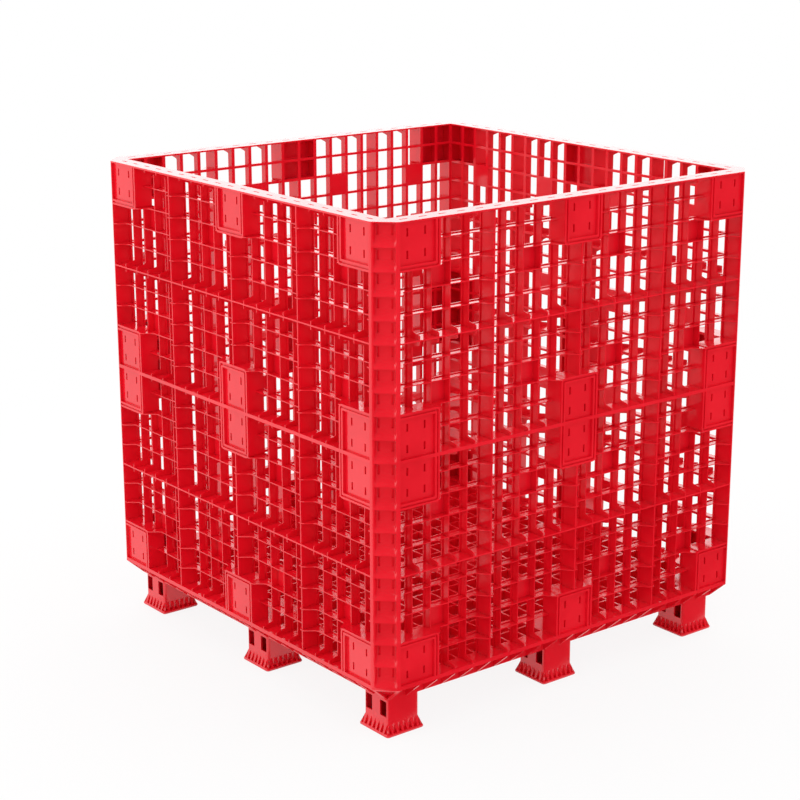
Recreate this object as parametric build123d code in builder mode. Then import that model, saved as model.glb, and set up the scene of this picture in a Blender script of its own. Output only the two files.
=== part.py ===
"""Plastic pallet box: a four-way deck on nine plug-in feet, carrying two stacked tiers of lattice wall.

Millimetres. +Z is up, +X runs along the front side. The origin is on the ground, under the middle of the deck.
"""

import os
from math import atan2, cos, degrees, radians, sin, sqrt

from build123d import *

# The wall's grid of cells
CELL = 50.4  # pitch of the cells, along the wall and up it
BAY_CELLS = 5  # cells between two deep ribs, both ways
BAYS = 4  # bays along one side
TIER_BAYS = 2  # bays up one tier
PAD_CELLS = 2  # cells that a pad covers, both ways

# Wall panels
WALL_DEPTH = 46.0  # inner face to outer plane
LATTICE_DEPTH = 19.0  # inner face to the front edge of the lattice bars
BAR_WIDTH = 8.0  # upright lattice bars
BAR_HEIGHT = 6.5  # level lattice bars
DEEP_RIB = 3.2  # ribs that reach the outer plane
FLANGE = 4.0  # flange along the top and the bottom of a tier
STILE = 8.0  # upright at each end of a panel
PAD_PLATE = 3.0  # pad's skin in the outer plane

# Joints between the pieces
FIT = 0.3  # clearance all round a tongue, a tab or a foot
TONGUE_WIDTH = 8.0  # tongue on a post, in a groove of the panel's stile
TONGUE_REACH = 4.0
TAB_LENGTH = 20.0  # tab under a panel, in a slot of the flange below it
TAB_THICKNESS = 4.0
TAB_DROP = 4.0

# Corner posts
CORNER_FLAT = 3.0  # part of each outer face left beside the chamfer
POCKET_WIDTH = 36.0  # recess in the chamfer, one to each row of cells
POCKET_DEPTH = 9.0
POST_RIB = 4.0  # ribs between the recesses
POST_WALL = 4.0  # skin round the post's hollow core

# Deck
DECK_HEIGHT = 45.5  # bottom edge of the skirt to the floor
FLOOR = 5.0  # floor plate and the rim that the wall stands on
SKIRT_WALL = 5.0  # upright skirt and the sockets of the feet
DECK_RIB = 5.0  # deep ribs of the open floor, one on each cell line of the wall
GUSSET = 4.0  # gussets under the overhanging rim
FACET_RIDGE = 5.0  # ridge round the recess in each corner of the skirt
FACET_DEPTH = 8.0

# Feet
FOOT_INSET = 47.6  # inner face of the wall to the middle of an outer foot
FOOT_HEIGHT = 86.5  # ground to the bottom edge of the skirt
FOOT_SHAFT = 85.5  # side of the square shaft
FOOT_BASE = 103.0  # side of the flared base
FLARE_HEIGHT = 28.0  # ground to the top of the flare
FOOT_LIP = 5.0  # upright edge of the base
FOOT_WALL = 4.0
FOOT_FLOOR = 5.0
WINDOW_WIDTH = 22.0  # two windows in each X side of a foot
WINDOW_HEIGHT = 36.0
WINDOW_SPACING = 50.0
WINDOW_DROP = 8.0  # skirt's bottom edge down to the windows

# Sizes that follow from these
columns = BAYS * BAY_CELLS
rows = TIER_BAYS * BAY_CELLS
inner_half = columns * CELL / 2
outer_half = inner_half + WALL_DEPTH
tier_height = rows * CELL
chamfer_leg = WALL_DEPTH - CORNER_FLAT
tab_depth = WALL_DEPTH / 2
tab_places = [(-inner_half + BAY_CELLS * CELL / 2, 0), (inner_half - BAY_CELLS * CELL / 2, 0)]
foot_pitch = inner_half - FOOT_INSET
skirt_half = foot_pitch + FOOT_SHAFT / 2 + FIT + SKIRT_WALL
deck_bottom = FOOT_HEIGHT
deck_top = deck_bottom + DECK_HEIGHT
rim_bottom = deck_top - FLOOR
tier_bases = {"lower": deck_top, "upper": deck_top + tier_height}
gusset_lines = range(BAY_CELLS, columns, BAY_CELLS)

SIDES = {"front": 0, "right": 90, "back": 180, "left": 270}
CORNERS = {"back_right": 0, "back_left": 90, "front_left": 180, "front_right": 270}
FOOT_ROWS = {"front": -1, "middle": 0, "back": 1}
FOOT_COLUMNS = {"left": -1, "centre": 0, "right": 1}


def side_plane(turn, base, depth):
    """Plane on one side of the box: X along the wall, Y up, Z outward, `depth` out from the inner face."""
    out = (sin(radians(turn)), -cos(radians(turn)), 0)
    reach = inner_half + depth
    return Plane(
        origin=(out[0] * reach, out[1] * reach, base),
        x_dir=(cos(radians(turn)), sin(radians(turn)), 0),
        z_dir=out,
    )


def level_plane(turn, height):
    """Level plane turned about the box's middle."""
    return Plane(origin=(0, 0, height), x_dir=(cos(radians(turn)), sin(radians(turn)), 0), z_dir=(0, 0, 1))


def span(first, last, line_sizes, bar):
    """Clear length between two grid lines, from each line's own half-thickness or else the bar's."""
    low = first * CELL + line_sizes.get(first, bar / 2)
    high = last * CELL - line_sizes.get(last, bar / 2)
    return low, high


def opening(across, up):
    """Rectangle in the current sketch over two spans, with `across` counted from the panel's end."""
    with Locations(((across[0] + across[1]) / 2 - inner_half, (up[0] + up[1]) / 2)):
        Rectangle(across[1] - across[0], up[1] - up[0])


# Half-thickness of the deep ribs, stiles and flanges on their grid lines
column_lines = {line: DEEP_RIB / 2 for line in range(0, columns + 1, BAY_CELLS)}
column_lines.update({0: STILE, columns: STILE})
row_lines = {line: DEEP_RIB / 2 for line in range(0, rows + 1, BAY_CELLS)}
row_lines.update({0: FLANGE, rows: FLANGE})

# The middle cell of each bay is closed. The bars beside it split the bay into three, both ways.
gate = BAY_CELLS // 2
bay_splits = (0, gate, gate + 1)
column_breaks = [bay * BAY_CELLS + split for bay in range(BAYS) for split in bay_splits] + [columns]
row_breaks = [bay * BAY_CELLS + split for bay in range(TIER_BAYS) for split in bay_splits] + [rows]
pad_rows = [(0, PAD_CELLS), (rows - PAD_CELLS, rows)]
middle_pad = (columns // 2 - PAD_CELLS // 2, columns // 2 + PAD_CELLS // 2)
pad_columns = [(0, PAD_CELLS), middle_pad, (columns - PAD_CELLS, columns)]

# Beside a middle pad the bars keep a pad's width away from it.
clear_of_pad = (middle_pad[0] - PAD_CELLS, middle_pad[1] + PAD_CELLS)
pad_row_breaks = sorted(
    [line for line in column_breaks if line <= clear_of_pad[0] or line >= clear_of_pad[1]] + list(middle_pad)
)


def pad_block(across, up):
    """Outline of one pad with its side walls, which stand on the lattice bars round it."""
    low, high = across[0] * CELL, across[1] * CELL
    if across[0] > 0:
        low -= BAR_WIDTH / 2
    if across[1] < columns:
        high += BAR_WIDTH / 2
    bottom, top = up[0] * CELL, up[1] * CELL
    if up[0] > 0:
        bottom -= BAR_HEIGHT / 2
    if up[1] < rows:
        top += BAR_HEIGHT / 2
    return (low, high), (bottom, top)


def panel_windows():
    """Windows of one panel as spans: those right through the lattice, and those closed by a pad."""
    through, closed = [], []
    for up in zip(row_breaks, row_breaks[1:]):
        breaks = pad_row_breaks if up in pad_rows else column_breaks
        for across in zip(breaks, breaks[1:]):
            if across[0] % BAY_CELLS == gate and up[0] % BAY_CELLS == gate:
                continue
            spans = span(*across, column_lines, BAR_WIDTH), span(*up, row_lines, BAR_HEIGHT)
            behind_pad = up in pad_rows and any(p[0] <= across[0] and across[1] <= p[1] for p in pad_columns)
            (closed if behind_pad else through).append(spans)
    return through, closed


def make_panel(node, turn, base):
    """One wall panel: deep ribs and flanges round recessed bays, lattice windows, pads, tabs and slots."""
    inner = side_plane(turn, base, 0)
    through, closed = panel_windows()
    with BuildPart() as panel:
        with BuildSketch(inner):
            opening((0, columns * CELL), (0, tier_height))
        extrude(amount=WALL_DEPTH)
        # recessed bays, from the outer plane down to the lattice, around the pads
        with BuildSketch(side_plane(turn, base, LATTICE_DEPTH)):
            for bay in range(BAYS):
                for level in range(TIER_BAYS):
                    across = (bay * BAY_CELLS, (bay + 1) * BAY_CELLS)
                    up = (level * BAY_CELLS, (level + 1) * BAY_CELLS)
                    opening(span(*across, column_lines, 0), span(*up, row_lines, 0))
            with BuildSketch(mode=Mode.SUBTRACT):
                for across in pad_columns:
                    for up in pad_rows:
                        opening(*pad_block(across, up))
        extrude(amount=WALL_DEPTH - LATTICE_DEPTH, mode=Mode.SUBTRACT)
        with BuildSketch(inner):
            for spans in through:
                opening(*spans)
        extrude(amount=WALL_DEPTH, mode=Mode.SUBTRACT)
        with BuildSketch(inner):
            for spans in closed:
                opening(*spans)
        extrude(amount=WALL_DEPTH - PAD_PLATE, mode=Mode.SUBTRACT)
        # groove down each end for the post's tongue
        groove_depth = TONGUE_REACH + FIT
        with BuildSketch(side_plane(turn, base, (WALL_DEPTH - TONGUE_WIDTH) / 2 - FIT)):
            for end in (-1, 1):
                with Locations((end * (inner_half - groove_depth / 2), tier_height / 2)):
                    Rectangle(groove_depth, tier_height)
        extrude(amount=TONGUE_WIDTH + 2 * FIT, mode=Mode.SUBTRACT)
        # tabs below, and slots above for the tabs of the next tier
        with BuildSketch(side_plane(turn, base, tab_depth - TAB_THICKNESS / 2)):
            with Locations(*tab_places):
                Rectangle(TAB_LENGTH, TAB_DROP, align=(Align.CENTER, Align.MAX))
        extrude(amount=TAB_THICKNESS)
        with BuildSketch(side_plane(turn, base + tier_height, tab_depth - TAB_THICKNESS / 2 - FIT)):
            with Locations(*tab_places):
                Rectangle(TAB_LENGTH + 2 * FIT, FLANGE, align=(Align.CENTER, Align.MAX))
        extrude(amount=TAB_THICKNESS + 2 * FIT, mode=Mode.SUBTRACT)
    panel.part.label = node
    export_step(panel.part, f"parts/{node}.step")


def make_post(node, turn, base):
    """One corner post: a chamfered column with a recess to each row of cells and a tongue for each panel."""
    inset = outer_half - chamfer_leg / 2
    face_x = cos(radians(turn + 45))
    face_y = sin(radians(turn + 45))
    chamfer_face = Plane(
        origin=(face_x * inset * sqrt(2), face_y * inset * sqrt(2), base),
        x_dir=(-face_y, face_x, 0),
        z_dir=(face_x, face_y, 0),
    )
    with BuildPart() as post:
        with BuildSketch(level_plane(turn, base)):
            with BuildLine():
                Polyline(
                    (inner_half, inner_half),
                    (outer_half, inner_half),
                    (outer_half, inner_half + CORNER_FLAT),
                    (inner_half + CORNER_FLAT, outer_half),
                    (inner_half, outer_half),
                    close=True,
                )
            make_face()
            middle = inner_half + WALL_DEPTH / 2
            with Locations((middle, inner_half - TONGUE_REACH / 2)):
                Rectangle(TONGUE_WIDTH, TONGUE_REACH)
            with Locations((inner_half - TONGUE_REACH / 2, middle)):
                Rectangle(TONGUE_REACH, TONGUE_WIDTH)
        extrude(amount=tier_height)
        with BuildSketch(chamfer_face):
            with Locations((0, tier_height / 2)):
                with GridLocations(0, CELL, 1, rows):
                    Rectangle(POCKET_WIDTH, CELL - POST_RIB)
        extrude(amount=-POCKET_DEPTH, mode=Mode.SUBTRACT)
        # hollow core, open below and closed by the rim above
        core_corner = inner_half + POST_WALL
        core_leg = WALL_DEPTH + CORNER_FLAT - (POCKET_DEPTH + POST_WALL) * sqrt(2) - 2 * POST_WALL
        with BuildSketch(level_plane(turn, base)):
            with Locations((core_corner, core_corner)):
                with BuildLine():
                    Polyline((0, 0), (core_leg, 0), (0, core_leg), close=True)
                make_face()
        extrude(amount=tier_height - FLANGE, mode=Mode.SUBTRACT)
    post.part.label = node
    export_step(post.part, f"parts/{node}.step")


def make_deck():
    """The deck: open floor of deep ribs, sockets for the feet, and an overhanging rim on gussets."""
    socket_half = FOOT_SHAFT / 2 + FIT + SKIRT_WALL
    hollow_half = skirt_half - SKIRT_WALL
    hollow_height = DECK_HEIGHT - FLOOR
    with BuildPart() as deck:
        # sloping skirt, each corner cut to a facet that ends in a point over the corner foot
        skirt_slope = degrees(atan2(outer_half - skirt_half, hollow_height))
        with BuildSketch(Plane(origin=(0, 0, rim_bottom), z_dir=(0, 0, -1))):
            Rectangle(2 * outer_half, 2 * outer_half)
        extrude(amount=hollow_height, taper=skirt_slope)
        point = Vector(skirt_half, skirt_half, deck_bottom)
        edge_a = Vector(outer_half, outer_half - chamfer_leg, rim_bottom)
        edge_b = Vector(outer_half - chamfer_leg, outer_half, rim_bottom)
        facet = (edge_b - point).cross(edge_a - point)
        for turn in CORNERS.values():
            facet_plane = Plane(origin=point.rotate(Axis.Z, turn), z_dir=facet.rotate(Axis.Z, turn))
            split(bisect_by=facet_plane, keep=Keep.BOTTOM)
            corners = [facet_plane.to_local_coords(p.rotate(Axis.Z, turn)) for p in (point, edge_a, edge_b)]
            with BuildSketch(facet_plane):
                with BuildLine():
                    Polyline(*corners, close=True)
                make_face()
                offset(amount=-FACET_RIDGE, kind=Kind.INTERSECTION, mode=Mode.REPLACE)
            extrude(amount=-FACET_DEPTH, mode=Mode.SUBTRACT)
        # rim that carries the wall, one plate with the floor
        with BuildSketch(Plane.XY.offset(rim_bottom)):
            outline = Rectangle(2 * outer_half, 2 * outer_half)
            chamfer(outline.vertices(), chamfer_leg)
        extrude(amount=FLOOR)
        # openings of the floor: between the ribs and a cross rib in the middle, or between two sockets
        with BuildSketch(Plane.XY.offset(deck_bottom)):
            for column in range(columns):
                low = max(column * CELL - inner_half, -hollow_half) + DECK_RIB / 2
                high = min((column + 1) * CELL - inner_half, hollow_half) - DECK_RIB / 2
                middle = (low + high) / 2
                reach = socket_half + (high - low) / 2
                if any(abs(middle - x * foot_pitch) < reach for x in FOOT_COLUMNS.values()):
                    ends = (socket_half, foot_pitch - socket_half)
                else:
                    ends = (DECK_RIB / 2, hollow_half - DECK_RIB / 2)
                for way in (-1, 1):
                    with Locations((middle, way * (ends[0] + ends[1]) / 2)):
                        Rectangle(high - low, ends[1] - ends[0])
        extrude(amount=DECK_HEIGHT, mode=Mode.SUBTRACT)
        # sockets, closed by the floor above the feet
        with BuildSketch(Plane.XY.offset(deck_bottom)):
            with GridLocations(foot_pitch, foot_pitch, 3, 3):
                Rectangle(FOOT_SHAFT + 2 * FIT, FOOT_SHAFT + 2 * FIT)
        extrude(amount=hollow_height, mode=Mode.SUBTRACT)
        # gaps between the gussets, and slots in the rim for the lower tier's tabs
        gap_ends = [-skirt_half + GUSSET / 2] + [line * CELL - inner_half for line in gusset_lines]
        gap_ends.append(skirt_half - GUSSET / 2)
        for turn in SIDES.values():
            with BuildSketch(side_plane(turn, deck_bottom, skirt_half - inner_half)):
                for low, high in zip(gap_ends, gap_ends[1:]):
                    with Locations(((low + high) / 2, hollow_height / 2)):
                        Rectangle(high - low - GUSSET, hollow_height)
            extrude(amount=outer_half - skirt_half, mode=Mode.SUBTRACT)
            with BuildSketch(side_plane(turn, deck_top, tab_depth - TAB_THICKNESS / 2 - FIT)):
                with Locations(*tab_places):
                    Rectangle(TAB_LENGTH + 2 * FIT, TAB_DROP + FIT, align=(Align.CENTER, Align.MAX))
            extrude(amount=TAB_THICKNESS + 2 * FIT, mode=Mode.SUBTRACT)
    deck.part.label = "base_deck"
    export_step(deck.part, "parts/base_deck.step")


def make_foot(node, x, y):
    """One foot: a hollow square shaft that plugs into its socket, two windows to each X side, a flared base."""
    ground = Plane(origin=(x, y, 0))
    window_middle = FOOT_HEIGHT - WINDOW_DROP - WINDOW_HEIGHT / 2
    with BuildPart() as foot:
        with BuildSketch(ground):
            Rectangle(FOOT_BASE, FOOT_BASE)
        extrude(amount=FOOT_LIP)
        with BuildSketch(ground.offset(FOOT_LIP)):
            Rectangle(FOOT_BASE, FOOT_BASE)
        flare_slope = degrees(atan2((FOOT_BASE - FOOT_SHAFT) / 2, FLARE_HEIGHT - FOOT_LIP))
        extrude(amount=FLARE_HEIGHT - FOOT_LIP, taper=flare_slope)
        with BuildSketch(ground.offset(FLARE_HEIGHT)):
            Rectangle(FOOT_SHAFT, FOOT_SHAFT)
        extrude(amount=rim_bottom - FLARE_HEIGHT)
        with BuildSketch(ground.offset(FOOT_FLOOR)):
            Rectangle(FOOT_SHAFT - 2 * FOOT_WALL, FOOT_SHAFT - 2 * FOOT_WALL)
        extrude(amount=rim_bottom - FOOT_FLOOR, mode=Mode.SUBTRACT)
        with BuildSketch(Plane(origin=(x, y, window_middle), x_dir=(0, 1, 0), z_dir=(1, 0, 0))):
            with GridLocations(WINDOW_SPACING, 0, 2, 1):
                Rectangle(WINDOW_WIDTH, WINDOW_HEIGHT)
        extrude(amount=FOOT_SHAFT, both=True, mode=Mode.SUBTRACT)
    foot.part.label = node
    export_step(foot.part, f"parts/{node}.step")


os.makedirs("parts", exist_ok=True)

make_deck()
for row, y in FOOT_ROWS.items():
    for column, x in FOOT_COLUMNS.items():
        make_foot(f"foot_{row}_{column}", x * foot_pitch, y * foot_pitch)
for tier, base in tier_bases.items():
    for side, turn in SIDES.items():
        make_panel(f"{tier}_panel_{side}", turn, base)
    for corner, turn in CORNERS.items():
        make_post(f"{tier}_post_{corner}", turn, base)
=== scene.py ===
"""Looks of a red plastic pallet box: a deck on nine feet that carries two tiers of lattice wall."""
import math

import bmesh
import bpy
from mathutils import Matrix, Vector


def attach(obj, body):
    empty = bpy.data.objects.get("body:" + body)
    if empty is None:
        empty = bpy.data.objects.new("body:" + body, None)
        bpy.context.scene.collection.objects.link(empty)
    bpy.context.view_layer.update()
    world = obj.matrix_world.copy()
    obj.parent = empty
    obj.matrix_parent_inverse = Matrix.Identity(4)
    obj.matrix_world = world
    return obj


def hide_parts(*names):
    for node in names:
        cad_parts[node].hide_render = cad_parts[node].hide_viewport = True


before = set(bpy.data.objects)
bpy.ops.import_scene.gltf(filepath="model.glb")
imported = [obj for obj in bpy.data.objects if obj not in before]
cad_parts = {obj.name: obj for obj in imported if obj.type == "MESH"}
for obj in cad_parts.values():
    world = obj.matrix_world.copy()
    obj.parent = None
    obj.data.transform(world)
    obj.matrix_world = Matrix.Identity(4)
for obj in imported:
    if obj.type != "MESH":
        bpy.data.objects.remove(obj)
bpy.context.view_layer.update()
bpy.context.scene.view_settings.view_transform = "Standard"

# Deck. The pallet under the box, one injection moulding of red polyethylene: an open floor of deep ribs,
# closed over the feet, and a rim that overhangs a sloping skirt with a gusset at each column line.
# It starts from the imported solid; the floor's cross ribs and the gussets between its own are added.
sides = ("front", "right", "back", "left")
cell = 0.0504
columns = 20
bay = 5
inner_half = 0.504
outer_half = 0.550
skirt_half = 0.50445
skirt_foot = 0.0865
rim_underside = 0.127
gusset_thickness, gusset_root, gusset_nose, gusset_gap = 0.004, 0.002, 0.002, 0.001
floor_top = 0.132
floor_rib, rib_foot, rib_end = 0.005, 0.088, 0.502
foot_pitch, socket = 0.4564, 0.0455
deck_edge_radius = 0.0006
same_point = 0.00001
bright_red = (0.86, 0.007, 0.020, 1)
deep_red = (0.78, 0.005, 0.016, 1)
scuffed_red = (0.80, 0.10, 0.11, 1)
# how far a solid reaches into the one it joins, and how far a cutter stands out of what it cuts
overlap = 0.001
cut_past = 0.01


def moulded_plastic(name, scuff_height):
    """Red plastic as it leaves the mould: faint flow marks, a fine grain, and scuffs near the ground."""
    material = bpy.data.materials.new(name)
    material.use_nodes = True
    nodes, links = material.node_tree.nodes, material.node_tree.links
    shader = nodes["Principled BSDF"]
    shader.inputs["IOR"].default_value = 1.5
    shader.inputs["Specular IOR Level"].default_value = 0.8
    place = nodes.new("ShaderNodeTexCoord")

    flow = nodes.new("ShaderNodeTexNoise")
    flow.inputs["Scale"].default_value = 7
    flow.inputs["Detail"].default_value = 4
    flow.inputs["Distortion"].default_value = 0.8
    links.new(place.outputs["Object"], flow.inputs["Vector"])
    tint = nodes.new("ShaderNodeValToRGB")
    tint.color_ramp.elements[0].position = 0.3
    tint.color_ramp.elements[0].color = deep_red
    tint.color_ramp.elements[1].position = 0.6
    tint.color_ramp.elements[1].color = bright_red
    links.new(flow.outputs["Fac"], tint.inputs["Fac"])

    # scuffs, only below the given height
    height = nodes.new("ShaderNodeSeparateXYZ")
    links.new(place.outputs["Object"], height.inputs["Vector"])
    low = nodes.new("ShaderNodeMapRange")
    low.inputs["From Min"].default_value = scuff_height
    low.inputs["From Max"].default_value = 0
    links.new(height.outputs["Z"], low.inputs["Value"])
    scratches = nodes.new("ShaderNodeTexNoise")
    scratches.inputs["Scale"].default_value = 160
    scratches.inputs["Detail"].default_value = 6
    links.new(place.outputs["Object"], scratches.inputs["Vector"])
    patches = nodes.new("ShaderNodeMapRange")
    patches.inputs["From Min"].default_value = 0.56
    patches.inputs["From Max"].default_value = 0.74
    patches.inputs["To Max"].default_value = 0.35
    links.new(scratches.outputs["Fac"], patches.inputs["Value"])
    scuff = nodes.new("ShaderNodeMath")
    scuff.operation = "MULTIPLY"
    links.new(low.outputs["Result"], scuff.inputs[0])
    links.new(patches.outputs["Result"], scuff.inputs[1])
    worn = nodes.new("ShaderNodeMix")
    worn.data_type = "RGBA"
    worn.inputs["B"].default_value = scuffed_red
    links.new(scuff.outputs["Value"], worn.inputs["Factor"])
    links.new(tint.outputs["Color"], worn.inputs["A"])
    links.new(worn.outputs["Result"], shader.inputs["Base Color"])

    gloss = nodes.new("ShaderNodeMapRange")
    gloss.inputs["To Min"].default_value = 0.10
    gloss.inputs["To Max"].default_value = 0.19
    links.new(flow.outputs["Fac"], gloss.inputs["Value"])
    links.new(gloss.outputs["Result"], shader.inputs["Roughness"])

    grain = nodes.new("ShaderNodeTexNoise")
    grain.inputs["Scale"].default_value = 900
    grain.inputs["Detail"].default_value = 2
    links.new(place.outputs["Object"], grain.inputs["Vector"])
    bump = nodes.new("ShaderNodeBump")
    bump.inputs["Strength"].default_value = 0.06
    bump.inputs["Distance"].default_value = 0.0004
    links.new(grain.outputs["Fac"], bump.inputs["Height"])
    links.new(bump.outputs["Normal"], shader.inputs["Normal"])
    return material


red_plastic = moulded_plastic("red_plastic", scuff_height=0.05)


def prism(outline, along):
    """Closed solid from a flat outline and the way it is pushed, as points and faces."""
    count = len(outline)
    points = [Vector(point) for point in outline]
    points += [point + Vector(along) for point in points]
    faces = [list(range(count)), list(range(count, 2 * count))]
    for i in range(count):
        j = (i + 1) % count
        faces.append([i, j, j + count, i + count])
    return points, faces


def box(low, high):
    """Closed block between two corners."""
    outline = [(low[0], low[1]), (high[0], low[1]), (high[0], high[1]), (low[0], high[1])]
    return prism([(x, y, low[2]) for x, y in outline], (0, 0, high[2] - low[2]))


def quarter_turn(count):
    """Turn about the Z axis by so many right angles."""
    return Matrix.Rotation(count * math.pi / 2, 4, "Z")


def mould(name, solids):
    """One object from closed solids, with faces that look outward."""
    points, faces = [], []
    for solid_points, solid_faces in solids:
        start = len(points)
        points += solid_points
        faces += [[start + corner for corner in face] for face in solid_faces]
    mesh = bpy.data.meshes.new(name)
    mesh.from_pydata(points, [], faces)
    shape = bmesh.new()
    shape.from_mesh(mesh)
    bmesh.ops.recalc_face_normals(shape, faces=shape.faces)
    shape.to_mesh(mesh)
    shape.free()
    piece = bpy.data.objects.new(name, mesh)
    bpy.context.scene.collection.objects.link(piece)
    return piece


def join(piece, solids, operation="UNION"):
    """Unites solids with a piece, or cuts them out of it."""
    tool = mould("tool", solids)
    step = piece.modifiers.new("step", "BOOLEAN")
    step.operation = operation
    step.solver = "MANIFOLD"
    step.object = tool
    shaped = piece.evaluated_get(bpy.context.evaluated_depsgraph_get())
    mesh = bpy.data.meshes.new_from_object(shaped)
    piece.modifiers.clear()
    before = piece.data
    piece.data = mesh
    bpy.data.meshes.remove(before)
    before = tool.data
    bpy.data.objects.remove(tool)
    bpy.data.meshes.remove(before)


def take_solid(piece):
    """Points and faces of a piece, to be joined to another; the piece itself goes."""
    points = [Vector(vertex.co) for vertex in piece.data.vertices]
    faces = [list(face.vertices) for face in piece.data.polygons]
    bpy.data.objects.remove(piece)
    return points, faces


def finish_piece(piece, body, nodes=()):
    """Red plastic, soft shading on curves, the body that a piece moves with and the nodes it stands for."""
    piece.data.materials.clear()
    piece.data.materials.append(red_plastic)
    piece.data.shade_smooth()
    piece.data.set_sharp_from_angle(angle=math.radians(32))
    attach(piece, body)
    if nodes:
        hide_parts(*nodes)


solid_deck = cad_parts["base_deck"]
deck = bpy.data.objects.new("deck", solid_deck.data.copy())
bpy.context.scene.collection.objects.link(deck)
deck.data.transform(solid_deck.matrix_world)
shape = bmesh.new()
shape.from_mesh(deck.data)
bmesh.ops.remove_doubles(shape, verts=shape.verts, dist=same_point)
shape.to_mesh(deck.data)
shape.free()
cross_ribs = []
for line in range(1, columns):
    low = line * cell - inner_half - floor_rib / 2
    cross_ribs.append(box((-rib_end, low, rib_foot), (rib_end, low + floor_rib, floor_top)))
lattice = mould("lattice", cross_ribs)
join(lattice, [
    box((x - socket, y - socket, 0), (x + socket, y + socket, rim_underside + overlap))
    for x in (-foot_pitch, 0, foot_pitch) for y in (-foot_pitch, 0, foot_pitch)
], "DIFFERENCE")
join(deck, [take_solid(lattice)])
soft_edges = deck.modifiers.new("soft_edges", "BEVEL")
soft_edges.width = deck_edge_radius
soft_edges.segments = 2
soft_edges.limit_method = "ANGLE"
soft_edges.angle_limit = math.radians(40)
finish_piece(deck, "lower_box", ["base_deck"])
deck.data.shade_flat()

gussets = []
for line in range(1, columns):
    if line % bay:
        across = line * cell - inner_half - gusset_thickness / 2
        root, tip = -skirt_half + gusset_root, -outer_half + gusset_gap
        outline = [
            (across, root, skirt_foot + gusset_gap),
            (across, -skirt_half - gusset_gap, skirt_foot + gusset_gap),
            (across, tip, rim_underside - gusset_nose),
            (across, tip, rim_underside),
            (across, root, rim_underside),
        ]
        gussets.append(prism(outline, (gusset_thickness, 0, 0)))
for quarter, side in enumerate(sides):
    row = mould(f"deck_gussets_{side}", gussets)
    row.data.transform(quarter_turn(quarter))
    finish_piece(row, "lower_box")

# Feet. Nine hollow square feet of the same plastic, moulded one by one and pushed up into the deck's sockets.
# The two X sides have a pair of windows. The base flares out over a ring of short fins, and a plain lip
# runs round the ground edge.
shaft_half = 0.04275
base_half = 0.0515
foot_wall, foot_floor = 0.004, 0.005
foot_radius, ground_radius, foot_edge = 0.007, 0.006, 0.0015
lip_height, lip_slope = 0.006, 0.001
flare_top, flare_bend, flare_bend_drop = 0.028, 0.001, 0.003
shaft_top = 0.1265
window_low, window_high = 0.0425, 0.0785
window_width, window_spacing, window_cut = 0.022, 0.050, 0.06
valleys_each_way, valley_pitch = 3, 0.0140
valley_foot, valley_head, valley_margin, valley_cut = 0.0046, 0.0028, 0.001, 0.02


def span(middle, width):
    """Low and high end of a stretch about its middle."""
    return middle - width / 2, middle + width / 2


def rounded(low_u, high_u, low_v, high_v, radii, steps=4):
    """Rectangle's outline in two coordinates, each corner with its own radius, from the low corner round."""
    corners = [(low_u, low_v, 1, 1), (high_u, low_v, -1, 1), (high_u, high_v, -1, -1), (low_u, high_v, 1, -1)]
    outline = []
    for turn, ((u, v, to_u, to_v), radius) in enumerate(zip(corners, radii)):
        if not radius:
            outline.append((u, v))
            continue
        for step in range(steps + 1):
            angle = math.pi + (turn + step / steps) * math.pi / 2
            outline.append((
                u + to_u * radius + radius * math.cos(angle),
                v + to_v * radius + radius * math.sin(angle),
            ))
    return outline


def square_ring(half, radius, height):
    """Rounded square round the Z axis at a height."""
    return [(x, y, height) for x, y in rounded(-half, half, -half, half, [radius] * 4)]


def stack(rings):
    """Closed solid through rings of points that lie one above the other."""
    count = len(rings[0])
    points = [Vector(point) for ring in rings for point in ring]
    faces = [list(range(count)), list(range(len(points) - count, len(points)))]
    for level in range(len(rings) - 1):
        for i in range(count):
            j = (i + 1) % count
            low = level * count
            faces.append([low + i, low + j, low + count + j, low + count + i])
    return points, faces


def set_down(name, mesh, move, body, nodes):
    """Finished piece from a copy of a mesh, moved to its place."""
    piece = bpy.data.objects.new(name, mesh.copy())
    bpy.context.scene.collection.objects.link(piece)
    piece.data.transform(move)
    finish_piece(piece, body, nodes)


foot = mould("foot", [stack([
    square_ring(base_half - foot_edge, ground_radius, 0),
    square_ring(base_half, foot_radius, foot_edge),
    square_ring(base_half, foot_radius, lip_height - foot_edge),
    square_ring(base_half - lip_slope, foot_radius, lip_height),
    square_ring(shaft_half + flare_bend, foot_radius, flare_top - flare_bend_drop),
    square_ring(shaft_half, foot_radius, flare_top),
    square_ring(shaft_half, foot_radius, shaft_top),
])])
valleys = []
for quarter in range(4):
    for place in range(-valleys_each_way, valleys_each_way + 1):
        middle = place * valley_pitch
        outline = [
            (middle - valley_foot, -shaft_half, lip_height + valley_margin),
            (middle + valley_foot, -shaft_half, lip_height + valley_margin),
            (middle + valley_head, -shaft_half, flare_top - valley_margin),
            (middle - valley_head, -shaft_half, flare_top - valley_margin),
        ]
        points, faces = prism(outline, (0, -valley_cut, 0))
        valleys.append(([quarter_turn(quarter) @ point for point in points], faces))
join(foot, valleys, "DIFFERENCE")
hollow_half = shaft_half - foot_wall
hollow = box((-hollow_half, -hollow_half, foot_floor), (hollow_half, hollow_half, shaft_top + cut_past))
join(foot, [hollow], "DIFFERENCE")
windows = []
for place in (-1, 1):
    ends = span(place * window_spacing / 2, window_width)
    outline = rounded(*ends, window_low, window_high, [foot_edge] * 4, steps=2)
    windows.append(prism([(-window_cut, y, z) for y, z in outline], (2 * window_cut, 0, 0)))
join(foot, windows, "DIFFERENCE")
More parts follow.
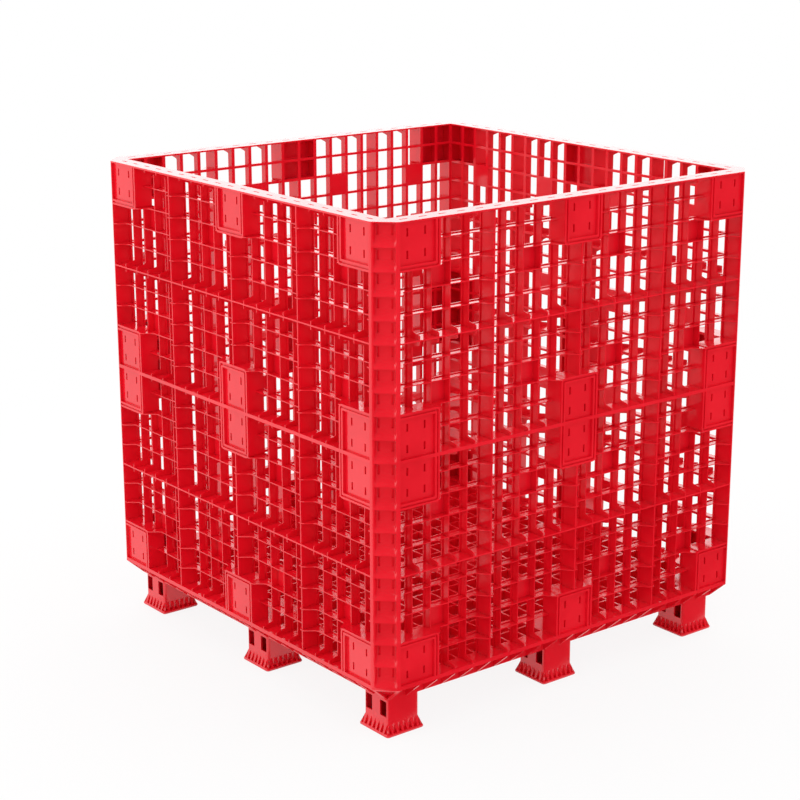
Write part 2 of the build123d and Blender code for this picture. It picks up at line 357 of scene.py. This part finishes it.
for row, y in (("front", -1), ("middle", 0), ("back", 1)):
    for column, x in (("left", -1), ("centre", 0), ("right", 1)):
        move = Matrix.Translation((x * foot_pitch, y * foot_pitch, 0))
        set_down(f"{row}_{column}_foot", foot.data, move, "lower_box", [f"foot_{row}_{column}"])
bpy.data.objects.remove(foot)

# Wall panels. Each side of a tier is one large moulding: a thin inner plate of windows, ribs outside it on
# every cell line, deep ribs round each bay of five cells, and pads at the ends and the middle. Flanges
# close it above and below, and tabs under it drop into the slots of the deck or of the tier below.
rows = 10
tier_height = rows * cell
length = columns * cell
wall_depth = 0.046
rib_depth = 0.0212
plate = 0.003
bar_width, bar_height = 0.009, 0.0065
thin_rib, deep_rib, deep_rib_depth = 0.0022, 0.0032, 0.0442
flange = 0.004
level_flare = (0.0035, 0.030)
upright_flare = (0.009, 0.017)
flare_steps = 10
pad_cells = 2
pad_columns = ((0, pad_cells), (columns // 2 - 1, columns // 2 + 1), (columns - pad_cells, columns))
pad_rows = ((0, pad_cells), (rows - pad_cells, rows))
pad_radius, pad_least_radius = 0.009, 0.002
ridge_width, groove_width = 0.0045, 0.004
groove_floor, pad_face = 0.0425, 0.0395
pad_back, island_back = 0.032, 0.03
pad_slot_width, pad_slot_height, pad_slot_offset = 0.005, 0.017, 0.023
pad_slot_floor = 0.0345
rim_slot_length, rim_slot_width, rim_slot_drop = 0.0206, 0.0046, 0.0043
tab_length, tab_thickness, tab_drop = 0.020, 0.004, 0.004


def at_wall(across, out, up):
    """Point on the front side, counted along the panel, outward from its inner face, and up from its foot."""
    return across - inner_half, -inner_half - out, up


def wall_box(across, out, up):
    """Block on the front side between three pairs of values."""
    low = at_wall(across[0], out[1], up[0])
    high = at_wall(across[1], out[0], up[1])
    return box(low, high)


def window_plate():
    """Inner plate, with a window to each cell but the middle one of each bay."""
    u_lines, v_lines = [0.0], [0.0]
    for i in range(columns):
        u_lines += [i * cell + bar_width / 2, (i + 1) * cell - bar_width / 2]
    for j in range(rows):
        v_lines += [j * cell + bar_height / 2, (j + 1) * cell - bar_height / 2]
    u_lines.append(length)
    v_lines.append(tier_height)
    wide, high = len(u_lines), len(v_lines)

    def solid(i, j):
        if not (0 <= i < wide - 1 and 0 <= j < high - 1):
            return False
        gate_cell = i // 2 % bay == bay // 2 and j // 2 % bay == bay // 2
        return not (i % 2 and j % 2) or gate_cell

    def corner(i, j, skin):
        return (skin * high + j) * wide + i

    points = [Vector(at_wall(u, out, v)) for out in (0, plate) for v in v_lines for u in u_lines]
    faces = []
    for j in range(high - 1):
        for i in range(wide - 1):
            if not solid(i, j):
                continue
            for skin in (0, 1):
                faces.append([corner(i, j, skin), corner(i + 1, j, skin),
                              corner(i + 1, j + 1, skin), corner(i, j + 1, skin)])
            for (a, b), beside in (
                (((i, j), (i + 1, j)), (i, j - 1)),
                (((i, j + 1), (i + 1, j + 1)), (i, j + 1)),
                (((i, j), (i, j + 1)), (i - 1, j)),
                (((i + 1, j), (i + 1, j + 1)), (i + 1, j)),
            ):
                if not solid(*beside):
                    faces.append([corner(*a, 0), corner(*b, 0), corner(*b, 1), corner(*a, 1)])
    used = sorted({number for face in faces for number in face})
    renumber = {number: place for place, number in enumerate(used)}
    return [points[number] for number in used], [[renumber[number] for number in face] for face in faces]


def rib_outline(total, stretches, flare):
    """Thin rib: recessed, and swept out to the outer plane at the given stretches of cell lines."""
    full = [(low * cell, high * cell) for low, high in stretches]
    flat, end = flare
    line = []
    for low, high in full:
        for step in range(flare_steps + 1):
            share = step / flare_steps
            out = rib_depth + (wall_depth - rib_depth) * (0.5 - 0.5 * math.cos(math.pi * share))
            line.append((low - end + (end - flat) * share, out))
        for step in range(flare_steps + 1):
            share = step / flare_steps
            out = rib_depth + (wall_depth - rib_depth) * (0.5 + 0.5 * math.cos(math.pi * share))
            line.append((high + flat + (end - flat) * share, out))
    line = [(along, out) for along, out in line if 0 < along < total]
    first = (0, wall_depth if full[0][0] <= 0 else rib_depth)
    last = (total, wall_depth if full[-1][1] >= total else rib_depth)
    return [(0, overlap), first] + line + [last, (total, overlap)]


bay_lines = [(line, line) for line in range(0, columns + 1, bay)]
lines_between_pads = [(bay, bay), (columns - bay, columns - bay)]
level_ribs, upright_ribs = [], []
for j in range(1, rows):
    if j % bay == 0:
        continue
    if j < pad_cells or j > rows - pad_cells:
        stretches = lines_between_pads
    elif j in (pad_cells, rows - pad_cells):
        stretches = sorted([*pad_columns, *lines_between_pads])
    else:
        stretches = bay_lines
    outline = rib_outline(length, stretches, level_flare)
    low = j * cell - thin_rib / 2
    level_ribs.append(prism([at_wall(along, out, low) for along, out in outline], (0, 0, thin_rib)))
for i in range(1, columns):
    if i % bay == 0:
        continue
    meets_pad = any(low <= i <= high for low, high in pad_columns)
    stretches = [(bay, bay)] if meets_pad else [(0, 0), (bay, bay), (rows, rows)]
    outline = rib_outline(tier_height, stretches, upright_flare)
    low = i * cell - thin_rib / 2
    upright_ribs.append(prism([at_wall(low, out, along) for along, out in outline], (thin_rib, 0, 0)))

deep_uprights = []
for i in (bay, columns // 2, columns - bay):
    between_pads = (pad_cells * cell, tier_height - pad_cells * cell)
    reach = between_pads if i == columns // 2 else (0, tier_height)
    deep_uprights.append(wall_box(span(i * cell, deep_rib), (overlap / 2, deep_rib_depth), reach))
deep_levels = [
    wall_box((0, length), (0, wall_depth), (0, flange)),
    wall_box((0, length), (0, wall_depth), (tier_height - flange, tier_height)),
    wall_box((0, length), (overlap / 2, wall_depth), span(tier_height / 2, deep_rib)),
]


def pad_outline(across, up, inset, clear):
    """Pad's outline on the panel, set in from its free sides; at the panel's ends it runs on by `clear`."""
    free_low, free_high = across[0] > 0, across[1] < columns
    free_foot, free_head = up[0] > 0, up[1] < rows
    low_u = across[0] * cell + (inset - bar_width / 2 if free_low else -clear)
    high_u = across[1] * cell - (inset - bar_width / 2 if free_high else -clear)
    low_v = up[0] * cell + (inset - bar_height / 2 if free_foot else flange if clear else 0)
    high_v = up[1] * cell - (inset - bar_height / 2 if free_head else flange if clear else 0)
    radius = max(pad_radius - inset, pad_least_radius)
    free_corners = (
        free_low and free_foot, free_high and free_foot, free_high and free_head, free_low and free_head
    )
    return rounded(low_u, high_u, low_v, high_v, [radius if free else 0 for free in free_corners])


def pad_prism(outline, out):
    """Solid over a pad's outline between two depths."""
    return prism([at_wall(u, out[0], v) for u, v in outline], (0, out[0] - out[1], 0))


pads = [(across, up) for across in pad_columns for up in pad_rows]
pad_caps = mould("pad_caps", [
    pad_prism(pad_outline(*pad, 0, 0), (overlap, wall_depth)) for pad in pads
])
join(pad_caps, [
    pad_prism(pad_outline(*pad, ridge_width, overlap), (0, pad_back)) for pad in pads
], "DIFFERENCE")
caps = take_solid(pad_caps)

wall = mould("wall", [window_plate()])
for group in (level_ribs, upright_ribs, deep_uprights, deep_levels, [caps]):
    join(wall, group)
grooves, islands, faces_down, pad_slots = [], [], [], []
island_inset = ridge_width + groove_width
face_inset = island_inset + ridge_width
past_front = wall_depth + cut_past
for pad in pads:
    grooves.append(pad_prism(pad_outline(*pad, ridge_width, overlap), (groove_floor, past_front)))
    island = pad_outline(*pad, island_inset, 2 * overlap)
    islands.append(pad_prism(island, (island_back, past_front + cut_past)))
    face = pad_outline(*pad, face_inset, overlap)
    faces_down.append(pad_prism(face, (pad_face, past_front)))
    middle_u = (min(u for u, v in face) + max(u for u, v in face)) / 2
    middle_v = (min(v for u, v in face) + max(v for u, v in face)) / 2
    for step_u in (-1, 1):
        for step_v in (-1, 1):
            pad_slots.append(wall_box(
                span(middle_u + step_u * pad_slot_offset, pad_slot_width), (pad_slot_floor, past_front),
                span(middle_v + step_v * pad_slot_offset, pad_slot_height),
            ))
groove_rings = mould("groove_rings", grooves)
join(groove_rings, islands, "DIFFERENCE")
rim_slots = [
    wall_box(
        span((i + 0.5) * cell, rim_slot_length), span(wall_depth / 2, rim_slot_width),
        (tier_height - rim_slot_drop, tier_height + cut_past),
    )
    for i in range(columns)
]
for cutters in ([take_solid(groove_rings)], faces_down, pad_slots, rim_slots):
    join(wall, cutters, "DIFFERENCE")
join(wall, [
    wall_box(span(place * cell, tab_length), span(wall_depth / 2, tab_thickness), (-tab_drop, overlap))
    for place in (bay / 2, columns - bay / 2)
])
tiers = {"lower": (floor_top, "lower_box"), "upper": (floor_top + tier_height, "upper_tier")}
for tier, (base, body) in tiers.items():
    for quarter, side in enumerate(sides):
        move = Matrix.Translation((0, 0, base)) @ quarter_turn(quarter)
        set_down(f"{tier}_{side}_wall", wall.data, move, body, [f"{tier}_panel_{side}"])
bpy.data.objects.remove(wall)

# Corner posts. A hollow moulded column stands in each corner of a tier and takes the ends of two panels.
# Its outer corner is cut off at 45 degrees between two rounded edges, and each row of cells has a
# recess there with a coved foot and two upright notches.
post_radius = 0.0095
recess_depth, recess_half, recess_slope = 0.013, 0.0235, 0.0040
post_rib = 0.0055
cove, cove_steps, cove_power = 0.026, 6, 1.2
recess_head = ((-0.0025, 1), (-0.0008, 0.85), (0, 0.55), (0.0003, 0))
bend_steps, slope_steps = 5, 4
post_wall, core_leg = 0.004, 0.0155
notch_width, notch_depth, notch_height, notch_offset = 0.0045, 0.0024, 0.020, 0.0145
notch_plane, notch_cut, notch_share = 0.0158, 0.016, 0.63
slit_width, slit_depth = 0.0008, 0.003


def post_levels():
    """Heights up the post, each with the share of the recess depth that it has."""
    levels = [(0, 0)]
    for j in range(rows):
        low, high = j * cell + post_rib / 2, (j + 1) * cell - post_rib / 2
        for step in range(cove_steps + 1):
            angle = step / cove_steps * math.pi / 2
            levels.append((low + cove * step / cove_steps, math.sin(angle) ** cove_power))
        levels += [(high + rise, share) for rise, share in recess_head]
    levels.append((tier_height, 0))
    return levels


def post_ring(height, share):
    """Outline of the post at one height, for the corner at the front left."""
    near, far = -inner_half - wall_depth, -inner_half
    ring = [(far, far, height)]
    bend = near + post_radius
    for step in range(bend_steps + 1):
        angle = -math.pi / 2 - step / bend_steps * math.pi / 4
        ring.append((far + post_radius * math.cos(angle), bend + post_radius * math.sin(angle), height))
    start = Vector((ring[-1][0], ring[-1][1]))
    end = Vector((start.y, start.x))
    middle = (start + end) / 2
    along = (end - start).normalized()
    inward = Vector((1, 1)).normalized()
    slope = [recess_half - recess_slope * step / slope_steps for step in range(slope_steps + 1)]
    for place in [-p for p in slope] + slope[::-1]:
        rise = (recess_half - abs(place)) / recess_slope
        depth = recess_depth * share * (0.5 - 0.5 * math.cos(math.pi * min(1, rise)))
        point = middle + along * place + inward * depth
        ring.append((point.x, point.y, height))
    for step in range(bend_steps + 1):
        angle = -math.pi * 3 / 4 - step / bend_steps * math.pi / 4
        ring.append((bend + post_radius * math.cos(angle), far + post_radius * math.sin(angle), height))
    return ring


post = mould("post", [stack([post_ring(*level) for level in post_levels()])])
core = -inner_half - post_wall
core_corners = [(core, core), (core - core_leg, core), (core, core - core_leg)]
core_foot = [(x, y, -cut_past) for x, y in core_corners]
join(post, [prism(core_foot, (0, 0, tier_height + cut_past - flange))], "DIFFERENCE")
middle = Vector((-inner_half - notch_plane, -inner_half - notch_plane, 0))
along = Vector((-1, 1, 0)).normalized()
outward = Vector((-1, -1, 0)).normalized()
notches = []
for j in range(rows):
    lift = Vector((0, 0, (j + notch_share) * cell - notch_height / 2))
    for way in (-1, 1):
        near = middle + along * way * (notch_offset - notch_width / 2)
        far = middle + along * way * (notch_offset + notch_width / 2)
        slit = far - along * way * slit_width
        outline = [
            near, slit - outward * notch_depth, slit - outward * slit_depth, far - outward * slit_depth,
            far + outward * notch_cut, near + outward * notch_cut,
        ]
        notches.append(prism([point + lift for point in outline], (0, 0, notch_height)))
join(post, notches, "DIFFERENCE")
for tier, (base, body) in tiers.items():
    for quarter, corner in enumerate(("front_left", "front_right", "back_right", "back_left")):
        move = Matrix.Translation((0, 0, base)) @ quarter_turn(quarter)
        set_down(f"{tier}_{corner}_corner", post.data, move, body, [f"{tier}_post_{corner}"])
bpy.data.objects.remove(post)

# Floor, light and camera. A plain white floor keeps a soft shadow and fades into a white surround, which
# gives most of the light. Soft lamps stand at the left and behind, and a dark cloth in front and overhead
# shows only in reflections, as in a product studio.
floor_radius, floor_drop, floor_corners = 14, 0.0005, 64
cloth_left, cloth_near, cloth_far, cloth_side = -0.6, -0.62, -7, 14
cloth_lift, cloth_top, cloth_back = 0.0005, 6, 1


def seen_rays(nodes, links):
    """Socket that is 1 for what is looked at, straight, in a reflection or through a clear piece."""
    path = nodes.new("ShaderNodeLightPath")
    seen = path.outputs["Is Camera Ray"]
    for kind in ("Is Glossy Ray", "Is Transmission Ray"):
        either = nodes.new("ShaderNodeMath")
        either.operation = "MAXIMUM"
        links.new(seen, either.inputs[0])
        links.new(path.outputs[kind], either.inputs[1])
        seen = either.outputs["Value"]
    return seen


floor_mesh = bpy.data.meshes.new("floor")
floor_mesh.from_pydata([
    (floor_radius * math.cos(angle), floor_radius * math.sin(angle), -floor_drop)
    for angle in (2 * math.pi * k / floor_corners for k in range(floor_corners))
], [], [list(range(floor_corners))])
floor = bpy.data.objects.new("floor", floor_mesh)
bpy.context.scene.collection.objects.link(floor)
floor_finish = bpy.data.materials.new("white_floor")
floor_finish.use_nodes = True
nodes, links = floor_finish.node_tree.nodes, floor_finish.node_tree.links
nodes.remove(nodes["Principled BSDF"])
paint = nodes.new("ShaderNodeBsdfDiffuse")
paint.inputs["Color"].default_value = (0.88, 0.88, 0.88, 1)
white = nodes.new("ShaderNodeEmission")
spot = nodes.new("ShaderNodeTexCoord")
reach = nodes.new("ShaderNodeVectorMath")
reach.operation = "LENGTH"
links.new(spot.outputs["Object"], reach.inputs[0])
fade = nodes.new("ShaderNodeMapRange")
fade.inputs["From Min"].default_value = 0.9
fade.inputs["From Max"].default_value = 2.4
fade.inputs["To Min"].default_value = 0.88
fade.inputs["To Max"].default_value = 1.0
links.new(reach.outputs["Value"], fade.inputs["Value"])
share = nodes.new("ShaderNodeMath")
share.operation = "MULTIPLY"
links.new(seen_rays(nodes, links), share.inputs[0])
links.new(fade.outputs["Result"], share.inputs[1])
mix = nodes.new("ShaderNodeMixShader")
links.new(share.outputs["Value"], mix.inputs["Fac"])
links.new(paint.outputs["BSDF"], mix.inputs[1])
links.new(white.outputs["Emission"], mix.inputs[2])
links.new(mix.outputs["Shader"], nodes["Material Output"].inputs["Surface"])
floor_mesh.materials.append(floor_finish)

world = bpy.data.worlds.new("white_studio")
bpy.context.scene.world = world
world.use_nodes = True
nodes, links = world.node_tree.nodes, world.node_tree.links
soft = nodes["Background"]
soft.inputs["Color"].default_value = (1, 1, 1, 1)
soft.inputs["Strength"].default_value = 1.12
backdrop = nodes.new("ShaderNodeBackground")
backdrop.inputs["Color"].default_value = (1, 1, 1, 1)
backdrop.inputs["Strength"].default_value = 1.0
mix = nodes.new("ShaderNodeMixShader")
links.new(seen_rays(nodes, links), mix.inputs["Fac"])
links.new(soft.outputs["Background"], mix.inputs[1])
links.new(backdrop.outputs["Background"], mix.inputs[2])
links.new(mix.outputs["Shader"], nodes["World Output"].inputs["Surface"])


def softbox(name, place, aim, width, height, power):
    """Large soft lamp at a place, turned to a point."""
    lamp = bpy.data.lights.new(name, "AREA")
    lamp.shape = "RECTANGLE"
    lamp.size = width
    lamp.size_y = height
    lamp.energy = power
    holder = bpy.data.objects.new(name, lamp)
    bpy.context.scene.collection.objects.link(holder)
    holder.location = place
    holder.rotation_euler = (Vector(aim) - Vector(place)).to_track_quat("-Z", "Y").to_euler()
    holder.visible_camera = False


softbox("left_lamp", place=(-3.2, 0.6, 1.6), aim=(0, 0, 0.6), width=2.0, height=2.0, power=10)
softbox("back_lamp", place=(1.95, 2.4, 1.95), aim=(0, 0, 1.1), width=4.0, height=1.5, power=20)

# the dark cloth lies in front of the box, rises far from it and comes back overhead
mat_mesh = bpy.data.meshes.new("dark_mat")
mat_mesh.from_pydata([
    (cloth_left, cloth_near, cloth_lift), (cloth_side, cloth_near, cloth_lift),
    (cloth_side, cloth_far, cloth_lift), (-cloth_side, cloth_far, cloth_lift),
    (cloth_side, cloth_far, cloth_top), (-cloth_side, cloth_far, cloth_top),
    (cloth_side, cloth_back, cloth_top), (-cloth_side, cloth_back, cloth_top),
], [], [[0, 1, 2, 3], [3, 2, 4, 5], [5, 4, 6, 7]])
dark_mat = bpy.data.objects.new("dark_mat", mat_mesh)
bpy.context.scene.collection.objects.link(dark_mat)
dark_mat.visible_camera = False
dark_mat.visible_diffuse = False
dark_mat.visible_shadow = False
dark_mat.visible_transmission = False
mat_finish = bpy.data.materials.new("dark_cloth")
mat_finish.use_nodes = True
mat_shader = mat_finish.node_tree.nodes["Principled BSDF"]
mat_shader.inputs["Base Color"].default_value = (0.03, 0.03, 0.03, 1)
mat_shader.inputs["Roughness"].default_value = 0.9
mat_mesh.materials.append(mat_finish)

lens = bpy.data.cameras.new("camera")
lens.lens = 88
lens.sensor_width = 36
camera = bpy.data.objects.new("camera", lens)
bpy.context.scene.collection.objects.link(camera)
camera.location = (-2.8912, -3.5648, 1.8547)
camera.rotation_euler = (math.radians(74.27), math.radians(0.06), math.radians(-38.37))
bpy.context.scene.camera = camera
